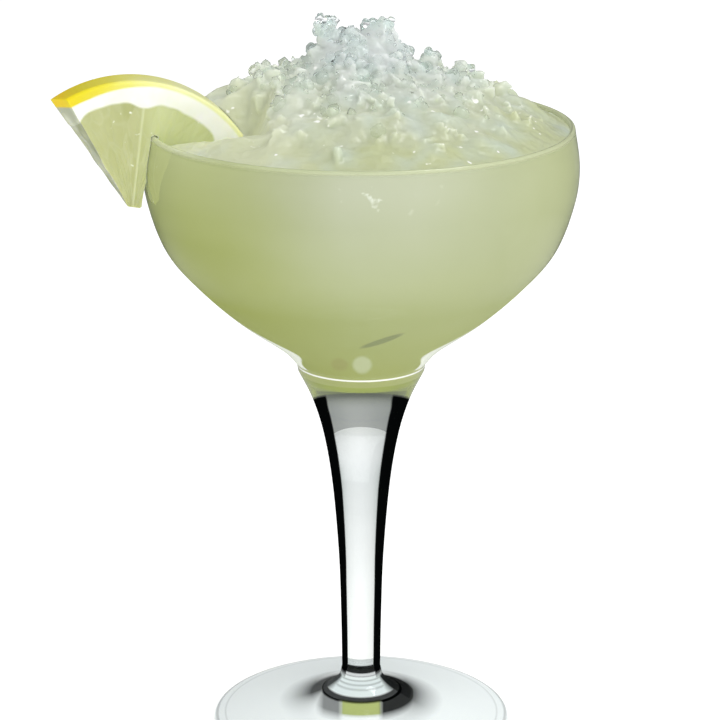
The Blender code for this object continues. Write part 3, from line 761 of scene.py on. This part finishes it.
def segment_share(reach, turn):
    """How much a point belongs to the flesh, 0 to 1, and to a segment's skin, 0 to 1."""
    aside = abs(turn - SEGMENT_SKIN) * reach
    from_end = min(turn - LEMON_FROM, LEMON_TO - turn) * reach
    uneven = 0.35 * MM * noise.noise(Vector((turn * 9.0, 3.0, 0.0)))
    depth = RIND_DEPTH + PITH_DEPTH + uneven + 1.2 * MM * math.exp(-((aside / (2.3 * MM)) ** 2))
    depth += 2.4 * MM * math.exp(-((from_end / (3.0 * MM)) ** 2))
    flesh = min(1.0, max(0.0, (LEMON_RADIUS - depth - reach) / (0.5 * MM) + 0.5))
    skin = min(1.0, max(0.0, 1.4 - aside / (0.3 * MM)))
    return flesh, skin * flesh


def juice_sac(reach, turn, side):
    """Distances in a pattern of cells drawn out from the slice's centre, and the cell's own number."""
    place = Vector((turn * 11.0, reach / (5.5 * MM), 7.0 * side))
    distances, cells = noise.voronoi(place + 0.25 * noise.noise_vector(place * 0.7))
    return distances[1] - distances[0], 0.5 + 0.5 * noise.noise(cells[0] * 3.7)


def lemon_surface():
    """The slice's skin: the surface of a block of rows (out), columns (round) and layers (across)."""
    rows, columns, layers = 110, 190, 22
    mesh = bmesh.new()
    shares = [mesh.verts.layers.float.new(name) for name in LEMON_PARTS]
    corners = {}

    def corner(row, column, layer):
        if (row, column, layer) in corners:
            return corners[row, column, layer]
        level = 2 * layer / layers - 1
        turn = LEMON_FROM + (LEMON_TO - LEMON_FROM) * column / columns
        turn -= END_SLANT * (1 - level) / 2 * (column / columns) ** 6
        start = LEMON_POINT_CUT / math.cos(turn - LEMON_MIDDLE)
        reach = start + (LEMON_RADIUS - start) * row / rows
        round_off = max(0.0, (reach - (LEMON_RADIUS - RIND_ROUNDING)) / RIND_ROUNDING)
        half = half_thickness(reach) - RIND_ROUNDING * (1 - math.sqrt(max(0.0, 1 - round_off**2)))
        flesh, skin = segment_share(reach, turn)
        gap, cell = juice_sac(reach, turn, math.copysign(1.0, level))
        sac_edge = max(0.0, 1 - gap / 0.16) * flesh
        on_face = 1.0 if layer in (0, layers) else 0.0
        relief = flesh * (0.13 * min(1.0, gap / 0.4) * MM - 0.2 * MM) + 0.15 * skin * MM
        half += on_face * relief * (1 - round_off)
        uneven_cut = 0.0
        if column in (0, columns):
            wave = noise.noise(Vector((reach / (5.0 * MM), level, 11.0 * column / columns)))
            uneven_cut = (0.5 * MM * wave - 0.15 * MM) * flesh * (1 if column else -1) / max(reach, 4 * MM)
        made = mesh.verts.new(lemon_point(reach, turn + uneven_cut, half * level))
        deeper = 1.2 * MM * min(1.0, max(0.0, (turn - LEMON_MIDDLE) / math.radians(30.0)))
        rind = min(1.0, max(0.0, (reach - (LEMON_RADIUS - RIND_DEPTH - deeper)) / (0.3 * MM) + 0.5))
        end = 1.0 if column == columns else 0.0
        for share, value in zip(shares, (flesh, skin, rind, cell, sac_edge, end)):
            made[share] = value
        corners[row, column, layer] = made
        return made

    def sheet(across, down, place):
        for a in range(across):
            for b in range(down):
                square = ((a, b), (a + 1, b), (a + 1, b + 1), (a, b + 1))
                mesh.faces.new([corner(*place(i, j)) for i, j in square])

    for end in (0, layers):
        sheet(rows, columns, lambda a, b: (a, b, end))
    for end in (0, columns):
        sheet(rows, layers, lambda a, b: (a, end, b))
    for end in (0, rows):
        sheet(columns, layers, lambda a, b: (end, a, b))
    bmesh.ops.recalc_face_normals(mesh, faces=mesh.faces)
    made = plain_mesh("lemon_slice", mesh)
    made.shade_smooth()
    return made


def slit_cutter():
    """The room for the glass's wall, running up into a closed cut, turned a little way round."""
    beside = [p for p in bowl_wall if p.y > SLIT_CUTTER_FROM]
    within = [p for p in inside_wall if p.y > SLIT_CUTTER_FROM]
    clear = Vector((SLIT_CLEARANCE, 0.0))
    tip = Vector(((beside[-1].x + within[-1].x) / 2, SLIT_TOP))
    top_out = Vector((beside[-1].x, GLASS_TOP - 0.2 * MM)) + clear
    top_in = Vector((within[-1].x, GLASS_TOP - 0.2 * MM)) - clear
    opening = [p + clear + Vector((0.3 * max(0.0, SLIT_WIDENS_BELOW - p.y), 0.0)) for p in beside]
    outline = [*opening, top_out, tip, top_in, *[p - clear for p in reversed(within)]]
    mesh = bmesh.new()
    start = Matrix.Rotation(LEMON_BEARING - math.radians(9.0), 3, "Z")
    mesh.faces.new([mesh.verts.new(start @ Vector((p.x, 0.0, p.y))) for p in outline])
    bmesh.ops.spin(mesh, geom=[*mesh.verts, *mesh.edges, *mesh.faces], axis=(0, 0, 1), cent=(0, 0, 0),
                   angle=math.radians(18.0), steps=24)
    bmesh.ops.recalc_face_normals(mesh, faces=mesh.faces)
    return plain_mesh("slit_cutter", mesh)


def cut_out(piece, cutter_mesh, operation="DIFFERENCE"):
    """Takes a closed mesh out of a piece for good, or keeps only what lies within it."""
    cutter = new_piece("cutter", cutter_mesh)
    cut = piece.modifiers.new("cut", "BOOLEAN")
    cut.operation, cut.solver, cut.object = operation, "MANIFOLD", cutter
    made = bpy.data.meshes.new_from_object(piece.evaluated_get(bpy.context.evaluated_depsgraph_get()))
    piece.modifiers.clear()
    piece.data = made
    bpy.data.objects.remove(cutter)


def lemon_finish():
    """Rind, pith and flesh, each where the slice's own attributes say, with painted light and painted glints
    on the flesh.
    """
    material, tree, output = new_material("fresh cut lemon")
    shares = {name: add(tree, "ShaderNodeAttribute", attribute_name=name).outputs["Fac"]
              for name in LEMON_PARTS}
    where, place = place_on_piece(tree)
    clouds = clouded(tree, where, 160.0, 3.0)
    flesh = ramp(tree, maths(tree, "MULTIPLY_ADD", shares["sac"], 0.55, times(tree, clouds, 0.5)), [
        (0.2, linear(176, 180, 124)), (0.55, linear(187, 190, 139)), (0.85, linear(198, 201, 157))])
    # Painted light: the flesh inside the bowl is paler, to lift the shade it lies in
    painted_light_in_bowl = times(tree, between(tree, place["X"], -49 * MM, -43 * MM), 0.6)
    # Painted glints: small pale specks on the flesh
    painted_flesh_glints = between(tree, clouded(tree, where, 640.0, 1.0), 0.72, 0.78)
    for share, shade in [
            (painted_light_in_bowl, linear(212, 220, 164)),
            (times(tree, shares["sac_edge"], 0.18), linear(208, 213, 172)),
            (times(tree, shares["skin"], 0.42), linear(222, 226, 190)),
            (painted_flesh_glints, linear(244, 247, 228))]:
        flesh = blended(tree, share, flesh, shade)
    pith = ramp(tree, clouds, [(0.3, linear(240, 242, 228)), (0.7, linear(248, 248, 242))])
    cut = blended(tree, shares["flesh"], pith, flesh)
    # The outer cut face is greyer
    grey_end_face = ramp(tree, clouds, [(0.4, linear(158, 164, 132)), (0.6, linear(196, 200, 176))])
    cut = blended(tree, times(tree, shares["end"], 0.85), cut, grey_end_face)
    ripeness = maths(tree, "SUBTRACT", between(tree, place["X"], -67 * MM, -38 * MM), 0.15)
    zest = ramp(tree, maths(tree, "MULTIPLY_ADD", clouds, 0.3, ripeness), [
        (0.0, linear(240, 206, 10)), (0.28, linear(226, 212, 40)), (0.58, linear(228, 224, 116)),
        (1.0, linear(234, 236, 178))])
    colour = blended(tree, shares["rind"], cut, zest)
    spots = add(tree, "ShaderNodeTexVoronoi", {"Vector": where, "Scale": 900.0}).outputs["Distance"]
    pores = times(tree, maths(tree, "LESS_THAN", spots, 0.35), shares["rind"])
    fibres = clouded(tree, where, 900.0, 2.0)
    relief = maths(tree, "SUBTRACT", times(tree, fibres, 0.5), pores)
    bump = add(tree, "ShaderNodeBump", {"Strength": 0.4, "Distance": 0.15 * MM, "Height": relief})
    wet = between(tree, shares["flesh"], 0.0, 1.0, 0.55, 0.22)
    gloss = add(tree, "ShaderNodeMix", {0: shares["rind"], 2: wet, 3: 0.38}, data_type="FLOAT").outputs[0]
    shader = add(tree, "ShaderNodeBsdfPrincipled", {
        "Base Color": colour, "Roughness": gloss, "IOR": 1.4, "Subsurface Weight": 0.5,
        "Subsurface Radius": (1.0, 0.9, 0.5), "Subsurface Scale": 2.0 * MM, "Normal": bump.outputs[0]})
    tree.links.new(shader.outputs[0], output)
    return material


lemon_mesh = lemon_surface()
lemon_mesh.materials.append(lemon_finish())
lemon = new_piece("lemon_slice", lemon_mesh)
lemon_room = new_piece("lemon_room", lemon_mesh.copy())
for corner, normal in zip(lemon_room.data.vertices, lemon_mesh.vertex_normals):
    corner.co += LEMON_ROOM * normal.vector
cut_out(packed_ice, lemon_room.data.copy())
clear_of_wall = [*bowl_inside(bowl_wall, 1.0 * MM), Vector((44.0, 150.0)) * MM, Vector((0.0, 150.0)) * MM]
within_glass = turned_piece("within_glass", clear_of_wall, 64, None)
cut_out(lemon_room, within_glass.data.copy(), "INTERSECT")
cut_out(drink, lemon_room.data.copy())
for helper in (lemon_room, within_glass):
    bpy.data.objects.remove(helper)
cut_out(lemon, slit_cutter())
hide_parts("lemon_wedge")
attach(lemon, BODY)


# The table
# A plain white table top, lit so evenly that it stays white up to the foot of the glass.
def only_mirrored(tree):
    """1 for light that was mirrored by a surface, 0 for light that came through glass or direct."""
    path = tree.nodes.new("ShaderNodeLightPath").outputs
    return maths(tree, "SUBTRACT", path["Is Glossy Ray"], path["Is Transmission Ray"])


def table_finish():
    """White, but dark in reflections, as where the table is small and the room round it dark."""
    material, tree, output = new_material("white table")
    shader = add(tree, "ShaderNodeBsdfPrincipled", {
        "Base Color": (0.92, 0.92, 0.92, 1.0), "Roughness": 0.8, "Specular IOR Level": 0.1,
        "Emission Color": (1.0, 1.0, 1.0, 1.0), "Emission Strength": 0.5})
    where = tree.nodes.new("ShaderNodeTexCoord").outputs["Object"]
    away = add(tree, "ShaderNodeVectorMath", {0: where}, operation="LENGTH").outputs["Value"]
    pool = ramp(tree, times(tree, away, 2.0), [
        (0.1, (0.85, 0.86, 0.85, 1.0)), (0.7, (0.13, 0.14, 0.13, 1.0))])
    dim = add(tree, "ShaderNodeEmission", {"Color": pool})
    tree.links.new(layered(tree, only_mirrored(tree), shader.outputs[0], dim.outputs[0]), output)
    return material


table_mesh = bpy.data.meshes.new("table")
table_mesh.from_pydata([(-6.0, -6.0, 0.0), (6.0, -6.0, 0.0), (6.0, 6.0, 0.0), (-6.0, 6.0, 0.0)],
                       [], [(0, 1, 2, 3)])
table_mesh.materials.append(table_finish())
table = new_piece("table", table_mesh)
table.location.z = -0.1 * MM


# The light
# Soft boxes above right and in front, in a room whose walls are a soft grey, so that clear ice
# and glass have something to show at their edges.
def soft_box(name, place, width, power, mirrored):
    lamp = bpy.data.lights.new(name, "AREA")
    lamp.shape, lamp.size, lamp.energy = "SQUARE", width, power
    box = new_piece(name, lamp)
    box.location = place
    box.rotation_euler = (Vector((0.0, 0.0, 0.10)) - box.location).to_track_quat("-Z", "Y").to_euler()
    box.visible_glossy = mirrored


soft_box("key_light", Vector((0.45, -0.15, 1.05)), 0.5, 4.5, True)
soft_box("front_light", Vector((0.2, -1.3, 0.75)), 1.0, 8.5, False)
room = bpy.data.worlds.new("studio")
bpy.context.scene.world = room
room.use_nodes = True
air = room.node_tree
direct = air.nodes.new("ShaderNodeLightPath").outputs["Is Camera Ray"]
room_light = blended(air, only_mirrored(air), (0.5, 0.505, 0.51, 1.0), (0.14, 0.15, 0.15, 1.0),
                     clamp_factor=True)
room_seen = blended(air, direct, room_light, (1.0, 1.0, 1.0, 1.0))
air.links.new(room_seen, air.nodes["Background"].inputs["Color"])


# The camera
# Level with the heap of ice and looking a little down, from about two feet away on a long lens.
CAMERA_PLACE = Vector((-0.00027, -0.6202, 0.27162))
CAMERA_DIP = math.radians(16.571)
LENS = 144.3
lens = bpy.data.cameras.new("camera")
lens.sensor_width, lens.lens, lens.clip_start = 36.0, LENS, 0.01
camera = new_piece("camera", lens)
camera.location = CAMERA_PLACE
camera.rotation_euler = (math.pi / 2 - CAMERA_DIP, 0.0, 0.0)
bpy.context.scene.camera = camera
bpy.context.scene.view_settings.view_transform = "Standard"
